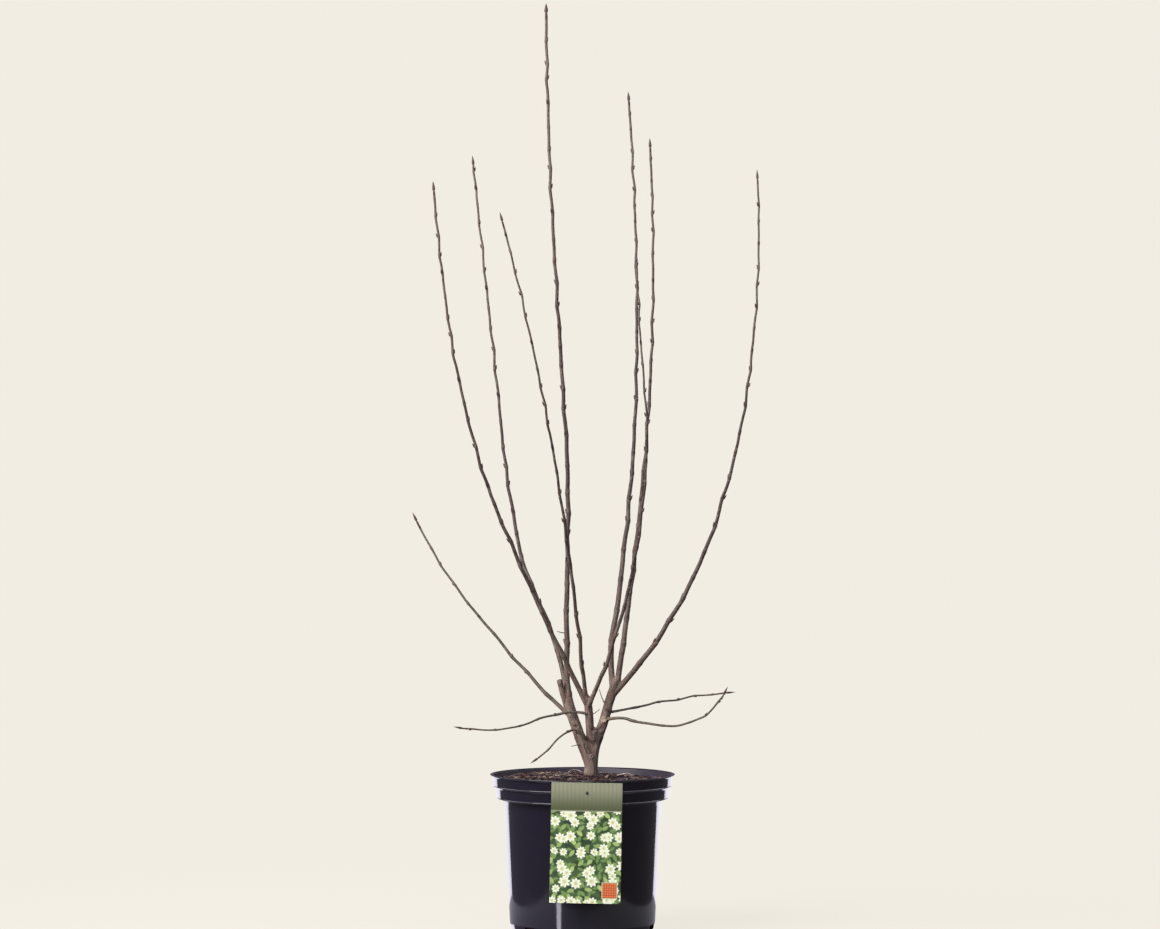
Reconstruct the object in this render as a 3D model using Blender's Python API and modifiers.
"""An evereste crabapple in a nursery pot, bare in winter.

Run it with: blender --background --python part.py
The unit is the metre, +Z is up and -Y is the front. The origin is the centre of the pot's flat underside.
Sizes below are in millimetres, and places on the plant are (across, back, up) from that origin.
"""

import bisect
import math
import random
from collections import namedtuple

import bmesh
import bpy
from mathutils import Matrix, Vector
from mathutils.geometry import interpolate_bezier, intersect_point_line

MM = 0.001
GAP = 0.3  # air left between pieces that touch
MERGE = 1e-5  # metres

# Pot
POT_HEIGHT = 235.0
LIP_RADIUS = 138.5
LIP_THICKNESS = 1.8
BAND_RADIUS = 134.6  # upper of the two bands under the lip
BAND_FOOT = 216.8  # height of the upper band's lower edge
LOWER_BAND_RADIUS = 129.6
LOWER_BAND_FOOT = 199.0
BAND_LEAN = 0.9  # each band is this much slimmer at its foot
BAND_STEP = 0.8  # height of the small step under the lip and under the upper band
BEAD = 1.0  # half the height of the bead along a band's foot
BEAD_PROUD = 0.4
WALL_TOP_RADIUS = 117.2
WALL_FOOT_RADIUS = 108.8
WALL_FOOT = 16.0  # height where the wall turns in to the underside
OUTER_TURN = ((107.3, 7.0), (104.5, 2.0))  # radius and height of two points on that turn
INNER_TURN = 4.0  # how far the turn runs in on the inside
WALL = 1.8
FLOOR = 6.0
BASE_RADIUS = 101.0
RING_RADIUS = 85.0  # inner radius of the ring that the pot stands on
PAD_RADIUS = 46.0  # flat pad in the middle of the underside
RECESS = 3.0  # depth of the hollow between ring and pad
TURN_STEPS = 48

# Drain notches round the pot's foot
NOTCH_COUNT = 6
NOTCH_WIDTH = 25.0
NOTCH_HEIGHT = 14.0
NOTCH_INNER_RADIUS = 92.0
NOTCH_OUTER_RADIUS = 122.0
NOTCH_CORNER = 4.0
FIRST_NOTCH = -46.0  # degrees round from the front, towards +X

# Compost
COMPOST_MIDDLE = 232.5
COMPOST_FLAT_RADIUS = 30.0
COMPOST_EDGE = 227.0

# Label card, hooked over the lip at the front
CARD_WIDTH = 103.5
CARD_HEIGHT = 175.4
CARD_THICKNESS = 0.8
CARD_ACROSS = 6.5
CARD_TOP = 233.0
CARD_TILT = 1.1  # degrees
HOOK_WIDTH = 16.0
HOOK_RISE = 3.3  # from the card's top edge to the top of the hook
HOOK_DEPTH = 8.4  # from the card's front to the back of the hook's tail
HOOK_TAIL = 8.6
HOOK_LAP = 5.0  # length over which the hook's foot is one with the card

# How a shoot grows
TAPER = 2.0  # above 1, a shoot thins faster near its foot
STEP_AT_FOOT = 42.0  # from one bud to the next
STEP_AT_TIP = 28.0
STEP_SPREAD = 0.25  # share by which a step may be longer or shorter
BUD_TURN = 144.0  # degrees round the shoot from one bud to the next
KINK = 1.3  # how far the shoot bends away from each bud
KINK_SPREAD = (0.5, 1.2)  # least and most share of that
BUD_LEAN = 24.0  # degrees between a bud and its shoot
BUD_PROUD = 2.4  # how far a bud's point stands off the bark
BUD_RADIUS = 1.5
BUD_SUNK = 0.3  # share of the shoot's radius at which a bud's foot lies
BUD_SIDES = 3
BUD_CLEAR = 3.0  # least distance from a bud's point to another limb
END_BUD = 16.0  # length of the bud at a shoot's tip
END_CLEAR = 24.0  # least length between a bud and the shoot's tip
END_BUD_SWELL = 1.5
END_BUD_POINT = 0.4
BARE_RINGS = 4  # rings on the length of a shoot that has no buds
THICK_STEP = 14.0  # from ring to ring along trunk, boughs and spurs
DOME = 0.55  # share of its radius to which a bough's end is rounded
FINE = 16  # points in each stretch of a smooth path
BEVELS = {"trunk": 4, "bough": 4, "cut": 3, "spur": 1, "shoot": 1}  # 4 gives 12 sides and 1 gives 6
GROUND = 232.8  # height of the flat cut under the trunk
GROUND_BLOCK = 50.0  # depth and half the width of the block that makes that cut

# Colours
BARK = (0.16, 0.115, 0.095)
SHOOT_BARK = (0.115, 0.075, 0.065)
TWIG_BARK = (0.13, 0.105, 0.075)
POT_BLACK = (0.018, 0.016, 0.028)
COMPOST_BROWN = (0.055, 0.03, 0.025)
CARD_GREEN = (0.22, 0.33, 0.14)
BARK_ROUGHNESS = 0.8
POT_ROUGHNESS = 0.25
COMPOST_ROUGHNESS = 0.95
CARD_ROUGHNESS = 0.4

# A limb has a kind: trunk, bough, cut for a sawn end, spur for a short dead end, and shoot for what carries
# buds. It has its radius at foot and tip, its seed, the length at its foot that has no buds, and the places
# that it passes through.
Limb = namedtuple("Limb", "kind foot tip seed bare places")
Node = namedtuple("Node", "name colour limbs")


def lobe(foot, tip, *places):
    return Limb("trunk", foot, tip, 0, 0, places)


def bough(foot, tip, *places):
    return Limb("bough", foot, tip, 0, 0, places)


def cut(foot, tip, *places):
    return Limb("cut", foot, tip, 0, 0, places)


def spur(*places):
    return Limb("spur", 1.0, 0.7, 0, 0, places)


def shoot(foot, tip, seed, bare, *places):
    return Limb("shoot", foot, tip, seed, bare, places)


PLANT = (
    Node("trunk", BARK, (
        lobe(10.4, 8.3, (12, 0, 220), (12, -1, 250), (4, -1, 271), (-5, -1, 293)),
        lobe(10.4, 6.3, (13, 0, 220), (12.5, 1, 250), (12.5, 2, 271), (11.5, 3, 293)),
        lobe(10.4, 7.4, (13, 0, 220), (13.8, 1, 250), (17, 3, 271), (25, 4, 293)),
        lobe(12.6, 9.8, (12.5, 0, 220), (12.5, 0, 231), (12.5, 0, 243)),
        lobe(6.0, 4.6, (17, 1, 284), (18.5, 1, 295), (20.5, 0, 304)),
        spur((1, -4, 278), (-8, -10, 279), (-17, -14, 277)),
    )),
    Node("bough_left", BARK, (
        bough(8.2, 7.8, (-2, -1, 285), (-9.5, 1, 306), (-17, 3, 327), (-23, 5, 349)),
    )),
    Node("bough_centre", BARK, (
        bough(6.3, 6.0, (12, 3, 288), (10.5, 1, 315), (7.5, -3, 347)),
        spur((10, 0, 320), (19, -4, 327), (26, -7, 332)),
    )),
    Node("bough_right", BARK, (
        bough(7.3, 6.9, (22, 4, 287), (33, 4, 317), (40, 5, 342), (48.5, 6, 367)),
        spur((36, 2, 335), (30, 3, 347), (25, 4, 361)),
    )),
    Node("cut_stub", BARK, (
        cut(4.5, 4.0, (-23.5, 3, 336), (-29.8, 0, 356), (-34.8, -3, 376)),
    )),
    Node("shoot_leader", SHOOT_BARK, (
        shoot(4.4, 2.15, 11, 90, (-22, 6, 340), (-24, 11, 435), (-23, 16, 532), (-22, 22, 671),
              (-32, 28, 852), (-49, 31, 1143), (-55, 30, 1397)),
        spur((-24, 11, 445), (-31, 10, 446), (-38, 9, 448)),
    )),
    Node("shoot_far_left", SHOOT_BARK, (
        shoot(4.0, 1.7, 12, 80, (6, -4, 341), (-22, -16, 397), (-84, -38, 530), (-143, -56, 672),
              (-183, -68, 823), (-212, -77, 1020), (-221, -80, 1117)),
    )),
    Node("shoot_back_left", SHOOT_BARK, (
        shoot(3.9, 1.65, 13, 80, (-23, 6, 344), (-32, 24, 397), (-53, 42, 461), (-88.5, 65, 545),
              (-108, 86, 638), (-136, 116, 868), (-170, 140, 1178)),
    )),
    Node("shoot_front", SHOOT_BARK, (
        shoot(3.2, 1.45, 14, 60, (6, -3, 342), (0, -20, 394), (-13.5, -55, 512), (-47.5, -112, 740),
              (-120.8, -150, 1065)),
    )),
    Node("shoot_back", SHOOT_BARK, (
        shoot(4.7, 1.75, 15, 80, (46.8, 6, 357), (42.8, 16, 402), (56, 46, 509), (80, 106, 753),
              (83.8, 138, 954), (71, 165, 1280)),
    )),
    Node("shoot_right", SHOOT_BARK, (
        shoot(4.6, 1.7, 16, 70, (50.5, 5, 360), (64.3, 12, 453), (83, 24, 597), (100.5, 38, 789),
              (107, 48, 1024), (102, 50, 1195)),
    )),
    Node("shoot_front_right", SHOOT_BARK, (
        shoot(3.4, 1.35, 17, 70, (9, -5, 337), (28.5, -25, 384), (77.5, -72, 559), (94.5, -102, 738),
              (84, -118, 894), (78.5, -130, 1007)),
    )),
    Node("shoot_far_right", SHOOT_BARK, (
        shoot(4.4, 1.45, 18, 60, (47, 5, 355), (89, 0, 404), (169, -8, 536), (224, -14, 696),
              (258, -19, 914), (261, -20, 1140)),
    )),
    Node("twig_left_rising", TWIG_BARK, (
        shoot(3.2, 1.5, 21, 50, (-18, 3, 321), (-48, 10, 348.5), (-120, 28, 427), (-214, 48, 547),
              (-258, 55, 627)),
    )),
    Node("twig_left_level", TWIG_BARK, (
        shoot(2.0, 1.2, 22, 50, (8, -4, 325), (-11, -11, 328), (-41, -20, 325), (-100, -45, 308),
              (-162, -65, 305.5), (-191, -75, 310.5)),
    )),
    Node("twig_left_drooping", TWIG_BARK, (
        shoot(1.75, 1.25, 23, 40, (5, -2, 282), (0, -10, 292), (-12, -13, 302), (-28, -20, 297),
              (-47, -33, 277), (-78, -50, 254)),
    )),
    Node("twig_right_level", TWIG_BARK, (
        shoot(1.95, 1.2, 24, 50, (36, 4, 326), (71, 14, 332), (123, 30, 341.6), (178, 45, 349.5),
              (232, 55, 354.5)),
    )),
    Node("twig_right_arching", TWIG_BARK, (
        shoot(2.45, 1.4, 25, 50, (29, 2, 314), (53, -6, 319), (95, -18, 312), (142, -30, 309),
              (187, -38, 329), (216, -45, 368.5)),
    )),
)


def clear_scene():
    for obj in list(bpy.data.objects):
        bpy.data.objects.remove(obj)


def new_collection(name):
    collection = bpy.data.collections.new(name)
    bpy.context.scene.collection.children.link(collection)
    return collection


def material(name, colour, roughness):
    made = bpy.data.materials.new(name)
    made.use_nodes = True
    shader = made.node_tree.nodes["Principled BSDF"]
    shader.inputs["Base Color"].default_value = (*colour, 1.0)
    shader.inputs["Roughness"].default_value = roughness
    shader.inputs["Metallic"].default_value = 0.0
    return made


def add_object(name, data, collection):
    obj = bpy.data.objects.new(name, data)
    collection.objects.link(obj)
    return obj


def settle(obj):
    """Replaces an object's mesh by the result of its modifiers."""
    graph = bpy.context.evaluated_depsgraph_get()
    obj.data = bpy.data.meshes.new_from_object(obj.evaluated_get(graph))
    obj.modifiers.clear()


def combine(obj, others, operation):
    """Joins the other objects to obj, or cuts them from it, in one Boolean, and removes them."""
    helpers = new_collection("helpers")
    for other in others:
        helpers.objects.link(other)
    boolean = obj.modifiers.new(operation.title(), "BOOLEAN")
    boolean.operation = operation
    boolean.operand_type = "COLLECTION"
    boolean.collection = helpers
    settle(obj)
    for other in others:
        bpy.data.objects.remove(other)
    bpy.data.collections.remove(helpers)


def islands(edit):
    """The connected groups of a bmesh's vertices."""
    left = set(edit.verts)
    found = []
    while left:
        group = {left.pop()}
        edge_of_group = list(group)
        while edge_of_group:
            vertex = edge_of_group.pop()
            for edge in vertex.link_edges:
                other = edge.other_vert(vertex)
                if other in left:
                    left.remove(other)
                    group.add(other)
                    edge_of_group.append(other)
        found.append(group)
    return found


def drop_scraps(obj):
    """Keeps only the largest connected piece of a mesh."""
    edit = bmesh.new()
    edit.from_mesh(obj.data)
    groups = sorted(islands(edit), key=len)
    for group in groups[:-1]:
        bmesh.ops.delete(edit, geom=list(group), context="VERTS")
    edit.to_mesh(obj.data)
    edit.free()


def shade_round(obj, angle=35.0):
    obj.data.shade_smooth()
    obj.data.set_sharp_from_angle(angle=math.radians(angle))


# Limbs


def smooth_path(places):
    """Closely spaced points, in millimetres, on a smooth curve through the places."""
    points = [Vector(place) for place in places]
    leans = [None] * len(points)
    for i in range(1, len(points) - 1):
        before = points[i] - points[i - 1]
        after = points[i + 1] - points[i]
        leans[i] = (before / before.length_squared + after / after.length_squared).normalized()
    first = (points[1] - points[0]).normalized()
    last = (points[-1] - points[-2]).normalized()
    leans[0] = (2 * first * first.dot(leans[1]) - leans[1]).normalized()
    leans[-1] = (2 * last * last.dot(leans[-2]) - leans[-2]).normalized()
    path = [points[0]]
    for start, end, lean, next_lean in zip(points, points[1:], leans, leans[1:]):
        reach = (end - start).length / 3
        handles = (start + lean * reach, end - next_lean * reach)
        path += interpolate_bezier(start, *handles, end, FINE)[1:]
    return path


class Path:
    """A smooth curve that gives its point and direction at any length from its foot."""

    def __init__(self, places):
        self.points = smooth_path(places)
        self.lengths = [0.0]
        for a, b in zip(self.points, self.points[1:]):
            self.lengths.append(self.lengths[-1] + (b - a).length)
        self.length = self.lengths[-1]

    def at(self, length):
        i = min(max(bisect.bisect(self.lengths, length), 1), len(self.points) - 1)
        a, b = self.points[i - 1], self.points[i]
        share = (length - self.lengths[i - 1]) / (self.lengths[i] - self.lengths[i - 1])
        return a.lerp(b, share), (b - a).normalized()


def sideways(way, degrees):
    """A unit vector square to a direction, turned round it."""
    across = way.cross(Vector((0.0, -1.0, 0.0))).normalized()
    return Matrix.Rotation(math.radians(degrees), 3, way) @ across


def radius_at(limb, share):
    """A limb's radius at a share of its length."""
    power = TAPER if limb.kind == "shoot" else 1.0
    return limb.tip + (limb.foot - limb.tip) * (1.0 - share) ** power


def plain_rings(limb, path):
    """Rings of a limb without buds: each is a centre and a radius."""
    count = max(2, round(path.length / THICK_STEP))
    rings = []
    for i in range(count + 1):
        share = i / count
        centre, _ = path.at(path.length * share)
        rings.append((centre, radius_at(limb, share)))
    return rings


def grow(limb):
    """The rings of a limb and its buds. A shoot bends a little away from every bud."""
    path = Path(limb.places)
    if limb.kind != "shoot":
        return plain_rings(limb, path), []
    chance = random.Random(limb.seed)
    rings = []
    buds = []
    for i in range(BARE_RINGS):
        share = limb.bare / path.length * i / BARE_RINGS
        rings.append((path.at(path.length * share)[0], radius_at(limb, share)))
    turn = chance.uniform(0.0, 360.0)
    reached = limb.bare
    while reached < path.length - END_CLEAR:
        share = reached / path.length
        centre, way = path.at(reached)
        side = sideways(way, turn)
        radius = radius_at(limb, share)
        centre = centre - side * KINK * chance.uniform(*KINK_SPREAD)
        rings.append((centre, radius))
        buds.append((centre, way, side, radius))
        step = STEP_AT_FOOT + (STEP_AT_TIP - STEP_AT_FOOT) * share
        step *= chance.uniform(1.0 - STEP_SPREAD, 1.0 + STEP_SPREAD)
        turn += BUD_TURN
        reached += step
        between = reached - step / 2
        if between < path.length - END_CLEAR:
            rings.append((path.at(between)[0], radius_at(limb, between / path.length)))
    for back, swell in ((END_BUD, 1.0), (END_BUD / 2, END_BUD_SWELL), (0.0, END_BUD_POINT)):
        centre, way = path.at(path.length - back)
        rings.append((centre, limb.tip * swell))
    return rings, buds


def ends_rounded(limb, rings):
    """Rounds a bough's upper end, so that the shoots leave it without a shelf."""
    if limb.kind != "bough":
        return rings
    (before, _), (end, radius) = rings[-2:]
    beyond = end + (end - before).normalized() * radius * DOME
    return rings + [(beyond, radius * DOME)]


def limb_object(name, limb, rings, grown, collection):
    """A closed tube through the rings. Grown is how much fatter and longer it is than the limb."""
    spline_data = bpy.data.curves.new(name, "CURVE")
    spline_data.dimensions = "3D"
    spline_data.bevel_depth = MM
    spline_data.bevel_resolution = BEVELS[limb.kind]
    spline_data.use_fill_caps = True
    spline = spline_data.splines.new("POLY")
    centres = [centre for centre, _ in rings]
    centres[0] = centres[0] - (centres[1] - centres[0]).normalized() * grown
    centres[-1] = centres[-1] + (centres[-1] - centres[-2]).normalized() * grown
    spline.points.add(len(rings) - 1)
    for point, centre, (_, radius) in zip(spline.points, centres, rings):
        point.co = (*(centre * MM), 1.0)
        point.radius = radius + grown
    curve = add_object(name + "_curve", spline_data, collection)
    bpy.context.view_layer.update()
    graph = bpy.context.evaluated_depsgraph_get()
    mesh = bpy.data.meshes.new_from_object(curve.evaluated_get(graph))
    bpy.data.objects.remove(curve)
    edit = bmesh.new()
    edit.from_mesh(mesh)
    bmesh.ops.remove_doubles(edit, verts=edit.verts, dist=MERGE)
    edit.to_mesh(mesh)
    edit.free()
    return add_object(name, mesh, collection)


def bud_object(bud, collection):
    """A pointed bud that leans off its shoot, its foot sunk in the wood."""
    centre, way, side, radius = bud
    lean = math.radians(BUD_LEAN)
    axis = way * math.cos(lean) + side * math.sin(lean)
    foot = centre + side * radius * BUD_SUNK
    length = ((1.0 - BUD_SUNK) * radius + BUD_PROUD) / math.sin(lean)
    mesh = bpy.data.meshes.new("bud")
    edit = bmesh.new()
    turned = axis.to_track_quat("Z", "Y").to_matrix().to_4x4()
    place = Matrix.Translation((foot + axis * length / 2) * MM) @ turned
    bmesh.ops.create_cone(
        edit,
        cap_ends=True,
        segments=BUD_SIDES,
        radius1=BUD_RADIUS * MM,
        radius2=0.0,
        depth=length * MM,
        matrix=place,
    )
    edit.to_mesh(mesh)
    edit.free()
    return add_object("bud", mesh, collection)


def bud_point(bud):
    centre, way, side, radius = bud
    return centre + side * (radius + BUD_PROUD)


def is_clear(point, others):
    """Whether a point keeps its distance from every other limb."""
    for rings in others:
        for (a, radius), (b, _) in zip(rings, rings[1:]):
            nearest, share = intersect_point_line(point, a, b)
            nearest = a.lerp(b, min(max(share, 0.0), 1.0))
            if (point - nearest).length < radius + BUD_CLEAR:
                return False
    return True


def ground_cutter(collection):
    low = (-GROUND_BLOCK, -GROUND_BLOCK, GROUND - GROUND_BLOCK)
    return block(low, (GROUND_BLOCK, GROUND_BLOCK, GROUND), collection)


def node_object(node, limbs, others, collection):
    """A node's limbs and buds as one solid. A bud that would come near another node's limb is left out."""
    pieces = []
    for limb, rings, buds in limbs:
        pieces.append(limb_object(node.name, limb, rings, 0.0, collection))
        for bud in buds:
            if is_clear(bud_point(bud), others):
                pieces.append(bud_object(bud, collection))
    if len(pieces) > 1:
        combine(pieces[0], pieces[1:], "UNION")
    return pieces[0]


def build_plant(collection):
    """Makes the nodes in turn, each cut clear of the ground and of every node made before it."""
    plant = []
    for node in PLANT:
        limbs = []
        for limb in node.limbs:
            rings, buds = grow(limb)
            limbs.append((limb, ends_rounded(limb, rings), buds))
        plant.append((node, limbs))
    for number, (node, limbs) in enumerate(plant):
        others = [rings for other, its_limbs in plant if other != node for _, rings, _ in its_limbs]
        obj = node_object(node, limbs, others, collection)
        cutters = [ground_cutter(collection)]
        for _, earlier in plant[:number]:
            for limb, rings, _ in earlier:
                cutters.append(limb_object("cutter", limb, rings, GAP, collection))
        combine(obj, cutters, "DIFFERENCE")
        drop_scraps(obj)
        obj.name = node.name
        obj.data.materials.clear()
        obj.data.materials.append(material(node.name, node.colour, BARK_ROUGHNESS))
        shade_round(obj)


# Pot, compost and label


def band(radius, top, foot):
    """Outline of one band, from its top to the bead along its foot."""
    lower = radius - BAND_LEAN
    return [
        (radius, top),
        (lower, foot + 2 * BEAD),
        (lower + BEAD_PROUD, foot + BEAD),
        (lower - BEAD_PROUD, foot),
    ]


def pot_outside():
    """Radius and height of the pot's outer side, from its lip down to the middle of its underside."""
    lip_foot = POT_HEIGHT - LIP_THICKNESS
    return [
        (LIP_RADIUS, POT_HEIGHT),
        (LIP_RADIUS, lip_foot),
        *band(BAND_RADIUS, lip_foot - BAND_STEP, BAND_FOOT),
        *band(LOWER_BAND_RADIUS, BAND_FOOT - BAND_STEP, LOWER_BAND_FOOT),
        (WALL_TOP_RADIUS, LOWER_BAND_FOOT - WALL),
        (WALL_FOOT_RADIUS, WALL_FOOT),
        *OUTER_TURN,
        (BASE_RADIUS, 0.0),
        (RING_RADIUS, 0.0),
        (RING_RADIUS - RECESS, RECESS),
        (PAD_RADIUS + RECESS, RECESS),
        (PAD_RADIUS, 0.0),
        (0.0, 0.0),
    ]


def pot_inside():
    """Radius and height of the pot's inner side, from the middle of its floor up to its lip."""
    lip_foot = POT_HEIGHT - LIP_THICKNESS
    return [
        (0.0, FLOOR),
        (WALL_FOOT_RADIUS - WALL - INNER_TURN, FLOOR),
        (WALL_FOOT_RADIUS - WALL, WALL_FOOT),
        (WALL_TOP_RADIUS - WALL, LOWER_BAND_FOOT),
        (LOWER_BAND_RADIUS - BAND_LEAN - WALL, LOWER_BAND_FOOT + WALL),
        (LOWER_BAND_RADIUS - WALL, BAND_FOOT),
        (BAND_RADIUS - BAND_LEAN - WALL, BAND_FOOT + WALL),
        (BAND_RADIUS - WALL, lip_foot),
        (BAND_RADIUS, POT_HEIGHT),
    ]


def turned(name, outline, collection):
    """A solid of revolution. The outline runs down its outer side and ends on the axis."""
    edit = bmesh.new()
    row = [edit.verts.new((radius * MM, 0.0, height * MM)) for radius, height in outline]
    for a, b in zip(row, row[1:]):
        edit.edges.new((a, b))
    mesh = bpy.data.meshes.new(name)
    edit.to_mesh(mesh)
    edit.free()
    obj = add_object(name, mesh, collection)
    screw = obj.modifiers.new("Turn", "SCREW")
    screw.steps = TURN_STEPS
    screw.render_steps = TURN_STEPS
    screw.use_merge_vertices = True
    screw.merge_threshold = MERGE
    settle(obj)
    return obj


def notch_cutter(number, collection):
    """A block with rounded upper edges that cuts one drain notch."""
    width = NOTCH_WIDTH * MM
    height = 2 * NOTCH_HEIGHT * MM
    length = (NOTCH_OUTER_RADIUS - NOTCH_INNER_RADIUS) * MM
    edit = bmesh.new()
    bmesh.ops.create_cube(edit, size=1.0, matrix=Matrix.Diagonal((width, length, height, 1.0)))
    along = [edge for edge in edit.edges if abs(edge.verts[0].co.y - edge.verts[1].co.y) > length / 2]
    bmesh.ops.bevel(edit, geom=along, offset=NOTCH_CORNER * MM, segments=2, affect="EDGES", profile=0.5)
    mesh = bpy.data.meshes.new("notch")
    edit.to_mesh(mesh)
    edit.free()
    obj = add_object("notch", mesh, collection)
    turn = Matrix.Rotation(math.radians(FIRST_NOTCH + 360.0 * number / NOTCH_COUNT), 4, "Z")
    middle = (NOTCH_INNER_RADIUS + NOTCH_OUTER_RADIUS) / 2 * MM
    obj.matrix_world = turn @ Matrix.Translation((0.0, -middle, 0.0))
    return obj


def build_pot(collection):
    pot = turned("pot", pot_inside() + pot_outside(), collection)
    cutters = [notch_cutter(number, collection) for number in range(NOTCH_COUNT)]
    bpy.context.view_layer.update()
    combine(pot, cutters, "DIFFERENCE")
    pot.data.materials.clear()
    pot.data.materials.append(material("pot", POT_BLACK, POT_ROUGHNESS))
    shade_round(pot)


def build_compost(collection):
    """The root ball's compost, which fills the pot and is crowned a little at the trunk."""
    edge_radius = BAND_RADIUS - WALL - GAP - BAND_LEAN
    top = [(0.0, COMPOST_MIDDLE), (COMPOST_FLAT_RADIUS, COMPOST_MIDDLE), (edge_radius, COMPOST_EDGE)]
    side = []
    for radius, height in pot_inside():
        if height < COMPOST_EDGE - GAP:
            side.append((max(radius - GAP, 0.0), height + GAP))
    compost = turned("compost", top + side[::-1], collection)
    compost.data.materials.append(material("compost", COMPOST_BROWN, COMPOST_ROUGHNESS))
    shade_round(compost)


def block(low, high, collection):
    """A box between two corners."""
    size = [b - a for a, b in zip(low, high)]
    middle = [(a + b) / 2 for a, b in zip(low, high)]
    edit = bmesh.new()
    place = Matrix.Translation(Vector(middle) * MM) @ Matrix.Diagonal((*(s * MM for s in size), 1.0))
    bmesh.ops.create_cube(edit, size=1.0, matrix=place)
    mesh = bpy.data.meshes.new("block")
    edit.to_mesh(mesh)
    edit.free()
    return add_object("block", mesh, collection)


def build_label(collection):
    """A flat card with a narrow hook that goes over the lip. It is made round the middle of its top edge."""
    half = CARD_WIDTH / 2
    hook = HOOK_WIDTH / 2
    thickness = CARD_THICKNESS
    card = block((-half, -thickness, -CARD_HEIGHT), (half, 0.0, 0.0), collection)
    riser = block((-hook, -thickness, -HOOK_LAP), (hook, 0.0, HOOK_RISE), collection)
    bridge = block((-hook, -thickness, HOOK_RISE - thickness), (hook, HOOK_DEPTH, HOOK_RISE), collection)
    tail = block((-hook, HOOK_DEPTH - thickness, HOOK_RISE - HOOK_TAIL), (hook, HOOK_DEPTH, HOOK_RISE), collection)
    combine(card, [riser, bridge, tail], "UNION")
    card.name = "label"
    card.location = Vector((CARD_ACROSS, -LIP_RADIUS - GAP, CARD_TOP)) * MM
    card.rotation_euler = (0.0, math.radians(CARD_TILT), 0.0)
    card.data.materials.append(material("label", CARD_GREEN, CARD_ROUGHNESS))


def main():
    clear_scene()
    collection = new_collection("potted_crabapple")
    build_pot(collection)
    build_compost(collection)
    build_label(collection)
    build_plant(collection)


main()
